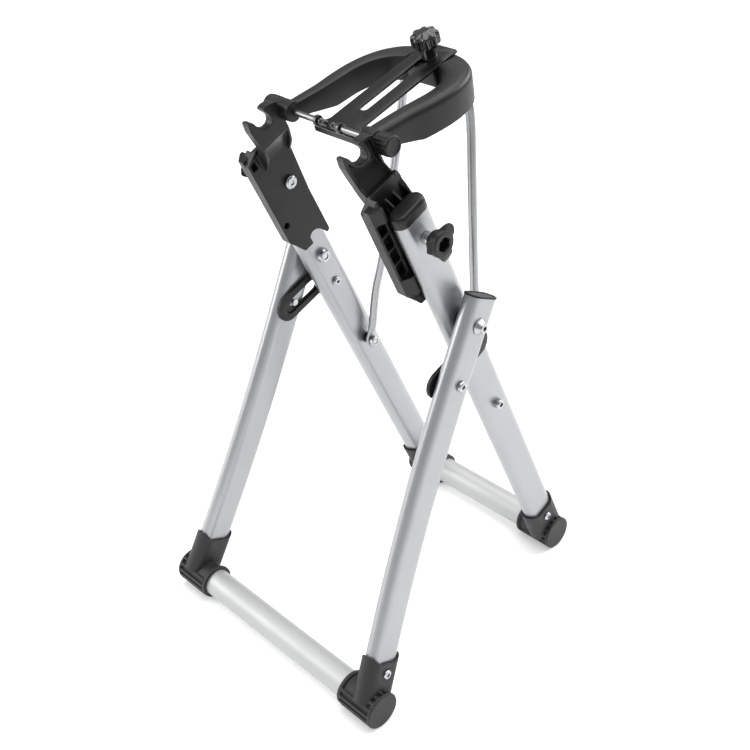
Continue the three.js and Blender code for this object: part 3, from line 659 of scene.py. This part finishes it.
# ---- radial plate, star knob and stud
outline = fillet([(-23.5, 7.5), (-23.5, 10), (-17.4, 17.6), (-17.4, 134), (17.4, 134), (17.4, 17.6),
                  (23.5, 10), (23.5, 7.5)], 2.2)
gap = [(y, x) for x, y in slot_shape(40.6, 120.4, 4)]
bend = [(8.6, 0), (7.2, 0), (6.2, -0.25), (5.3, -0.9), (4.85, -1.8), (4.75, -3.0), (4.75, -5.4), (6.7, -5.4),
        (6.9, -3.2), (7.4, -2.45), (8.6, -2.2)]
piece("radial_plate", merged(
    slab([outline, gap], LIP, X, PLATE_U, -2.2, 0, 0.28),
    slab([bend], LIP, PLATE_U, PLATE_N, -23.4, 23.4)), angle=32)
piece("star_stud", lathe(soften([(0, -12.6), (3, -12.6), (3, 11), (0, 11)], 0.3), STUD, PLATE_N, 48))

LOBES = 8
NECK_TOP = 9.6


def lobed(a, r, h):
    if h < NECK_TOP or r < 5:
        return r
    return r * (1 - 0.19 * (0.5 - 0.5 * math.cos(LOBES * a)) ** 1.35)


crown = [(0, 0.3), (6.3, 0.3), (6.4, 0.6), (6.4, 9.2), (7.2, 9.5), (10.6, 9.9), (11.6, 10.4), (12.1, 11.3),
         (12.2, 12.7), (12.2, 17.9), (12.05, 19.1), (11.6, 20), (10.8, 20.7), (9.6, 21.3), (8, 21.9),
         (6, 22.5), (4, 22.85), (2, 23), (0, 23.05)]
piece("star_knob", lathe(spline(crown, 90), STUD, PLATE_N, 192, lobed), angle=50)


# ---- dropout plates: a ribbed body by the leg, a forked head further in, and a slanted web between them
def level(outlines, x0, x1):
    return slab(outlines, PIVOT, MAIN_UP, MAIN_N, x0, x1)


def upright(points, n0, n1):
    """A slab across the plate, its outline as (distance, x)."""
    return slab([points], PIVOT + MAIN_N * n1, MAIN_UP, X, 0, n1 - n0)


def box_of(s0, s1, x0, x1):
    return [(s0, x0), (s1, x0), (s1, x1), (s0, x1)]


WEB_LOW, WEB_HIGH = -13, 12.6  # between the web's two rims
RIMS = ((WEB_HIGH, 15), (-15.4, WEB_LOW))
body_edge = fillet([
    (28.4, 17.9), (28.1, 7.2), (36, 7.4), (38.6, 3.4), (37.6, -1.6), (33.6, -6), (25.2, -10.2), (26.4, -13.6),
    (29.2, -13.9), (75, -13.7), (101, -15.2), (138, -17.6), (144, -16), (144, 14.4), (137.4, 27.2),
    (47, 27.6), (36.8, 21.4)], 1.6)
head_edge = fillet([
    (150, -15.4), (176, -15.4), (178.6, -10.6), (180, -5.2), (179.2, -1.2), (176.2, -1.8), (171, -4.6),
    (168, -5.2), (165, -4), (163.4, -1.4), (163.2, 2.2), (165, 5.4), (170.6, 9.6), (177.2, 12), (179, 14.6),
    (178.4, 16.6), (170, 17.6), (150, 15.2)], 1.4)
head_pocket = fillet([
    (155, -12.5), (173.5, -12.6), (175.8, -10), (177, -6.5), (171.5, -7.8), (165, -7.4), (160.9, -3.5),
    (160.4, 3), (163, 7.6), (168, 11.6), (173.5, 14), (168, 14.8), (155, 12.4)], 1.0)
side_pockets = [box_of(s0, s1, 17.2, 25) for s0, s1 in ((68, 81), (83, 96), (98, 111), (113, 125))]
pockets = [fillet(points, 1.5) for points in (
    [(44, -11.2), (87, -12), (87, 14.6), (41.5, 15), (42, 6), (45, 1)],
    [(107, -13), (138, -15), (141, -13), (141, 11), (138, 14.6), (107, 14.6)],
    *side_pockets)]
window = fillet([(130, 19.5), (138, 19.5), (137, 25), (130, 25)], 1)
holes = [circle(97, 0, 3.2), circle(64.6, 22.3, 3), window]
above_web = [(121, 76), (121, 90), (160, 90), (160, 60), (146.8, 60), (131, 71)]
web = [(124, 65.2), (124, 68.2), (130, 68.2), (153.5, 53.2), (153.5, 50.2), (150, 50.2), (128.5, 65.2)]
rim = [(155, 50), (150, 50), (144, 51.4), (135, 54.6), (127.5, 59.6), (121, 65.6), (124, 71), (131, 71),
       (149, 58.4), (155, 58.4)]
rib = [(112, 67.6), (112, 75.4), (126, 75.4), (131, 70.6), (133, 65.6)]
lug = [(17.2, 70), (17.2, 82), (20, 82), (27.3, 76), (27.3, 70)]
body_rims = less(
    level([body_edge, *holes, *pockets], 68.2, 75.9),
    upright([(127, 60), (127, 90), (160, 90), (160, 60)], WEB_LOW, WEB_HIGH),
    upright(above_web, -20, WEB_LOW - 0.1),
    upright(above_web, WEB_HIGH + 0.1, 15.4), exact=True)
head_rims = less(
    level([head_edge, head_pocket], 52.8, 58.4),
    upright([(140, 40), (140, 70), (160, 70), (160, 40)], WEB_LOW, WEB_HIGH), exact=True)
parts = [
    level([body_edge, *holes], 65, 68.4), body_rims,
    level([head_edge], 50, 53), head_rims,
    upright(web, -15, 14.8),
    *[upright(rim, n0, n1) for n0, n1 in RIMS],
    *[upright(rib, n - 1, n + 1) for n in (-4.5, 4)],
    *[slab([lug], on_main(s0), MAIN_N, X, 0, s1 - s0) for s0, s1 in ((127, 141), (46.5, 66))],
]
barrel_room = lathe([(0, 40), (8.9, 40), (8.9, 80), (0, 80)], BARREL, X)
arm_room = slab([[(-3.8, 4), (-3.8, -16.4), (40, -16.4), (40, 4)]], on_arm(46, 0, 0), ARM_U, ARM_N, 0, 14)
pair("dropout_plate", fused(less(fused(merged(*parts), 0.36, 0), barrel_room, arm_room), 0.36, 2), 60)

# ---- dropout clamps
KNOB_TURN = -62
clamp_head = soften([(3.4, 61.2), (4.6, 61.3), (5.9, 62.3), (5.9, 64.8), (3, 64.8), (3, 104), (0, 104)], 0.3)
pair("clamp_bolt", lathe([(0, 62.6, "hex"), (2.6, 62.5, "hex"), (2.7, 61.3, "hex"), *clamp_head], CLAMP, X))
pair("clamp_sleeve", spacer(5.4, MAIN_OUT + 0.2, 99.8, CLAMP))


def knob_lobe(degrees):
    a = math.radians(degrees)
    radial = MAIN_UP * math.cos(a) + MAIN_N * math.sin(a)
    side = X.cross(radial)
    outline = [(6.4, -6.4), (11, -6.0), (15.4, -4.6), (17.3, -1.6), (17.3, 1.6), (15.4, 4.6), (11, 6.0),
               (6.4, 6.4)]
    under = [(6, 104), (19, 110.4), (19, 90), (6, 90)]
    over = [(10.5, 113), (10.5, 111.9), (19, 108.6), (19, 113)]
    cuts = [slab([cut], CLAMP + side * 10, radial, X, 0, 20) for cut in (under, over)]
    return less(slab([fillet(outline, 1.6)], CLAMP, radial, side, 101.4, 111.2), *cuts, exact=True)


hub = soften([(0, 100), (7.6, 100), (9.2, 101.6), (10.6, 105), (11, 107), (11, 111), (10.2, 112),
              (6.9, 112)], 0.6)
well = [(6.4, 111.8, "hex"), (6.2, 104.6, "hex"), (0, 104.5)]
lobes = [knob_lobe(KNOB_TURN + degrees) for degrees in (0, 120, 240)]
pair("clamp_knob", fused(merged(lathe(hub + well, CLAMP, X, 120), *lobes), 0.34, 3), 60)

# ---- floor, light and camera
FLOOR_HALF = 15
floor = bpy.data.meshes.new("floor")
corners = [(-1, -1), (1, -1), (1, 1), (-1, 1)]
floor.from_pydata([(x * FLOOR_HALF, y * FLOOR_HALF, 0) for x, y in corners], [], [(0, 1, 2, 3)])
floor_obj = bpy.data.objects.new("floor", floor)
bpy.context.scene.collection.objects.link(floor_obj)
floor_mat = bpy.data.materials.new("floor")
floor_mat.use_nodes = True
paint = floor_mat.node_tree.nodes["Principled BSDF"].inputs
paint["Base Color"].default_value = (0.9, 0.9, 0.9, 1)
paint["Emission Color"].default_value = (1, 1, 1, 1)
paint["Emission Strength"].default_value = 0.28
paint["Roughness"].default_value = 0.9
paint["Specular IOR Level"].default_value = 0.1
floor.materials.append(floor_mat)

scene = bpy.context.scene
world = scene.world or bpy.data.worlds.new("world")
scene.world = world
world.use_nodes = True
sky = world.node_tree.nodes["Background"].inputs
sky["Color"].default_value = (1, 1, 1, 1)
sky["Strength"].default_value = 0.42


def area(name, at, to, size, power, size_y=None):
    light = bpy.data.lights.new(name, "AREA")
    light.energy = power
    light.size = size
    if size_y:
        light.shape = "RECTANGLE"
        light.size_y = size_y
    obj = bpy.data.objects.new(name, light)
    obj.location = at
    obj.rotation_euler = (Vector(to) - Vector(at)).to_track_quat("-Z", "Y").to_euler()
    scene.collection.objects.link(obj)


area("key", (-1.3, -1.3, 1.1), (0, 0, 0.3), 0.9, 22, 1.6)
area("top", (0.0, 0.4, 2.6), (0, 0, 0.2), 3.0, 70)
area("back", (0.4, 1.9, 1.3), (0, 0, 0.35), 1.4, 22, 0.8)

CAMERA_AT = Vector((0.628073, -0.615989, 0.797171))
AZIMUTH, ELEVATION, ROLL = [math.radians(degrees) for degrees in (46.273, 32.454, -1.356)]
FOCAL_SHARE = 1.511851  # focal length over the sensor's width
SENSOR = 36
PICTURE = 750
cam_data = bpy.data.cameras.new("camera")
cam = bpy.data.objects.new("camera", cam_data)
scene.collection.objects.link(cam)
back = Vector((math.sin(AZIMUTH) * math.cos(ELEVATION), -math.cos(AZIMUTH) * math.cos(ELEVATION),
               math.sin(ELEVATION)))
right = Vector((math.cos(AZIMUTH), math.sin(AZIMUTH), 0))
up = back.cross(right)
cam.matrix_world = placed(
    right * math.cos(ROLL) + up * math.sin(ROLL), up * math.cos(ROLL) - right * math.sin(ROLL), back,
    CAMERA_AT)
cam_data.sensor_width = SENSOR
cam_data.lens = FOCAL_SHARE * SENSOR
cam_data.clip_start = 0.01
scene.camera = cam
scene.render.resolution_x = scene.render.resolution_y = PICTURE
scene.view_settings.view_transform = "Standard"
scene.view_settings.look = "None"
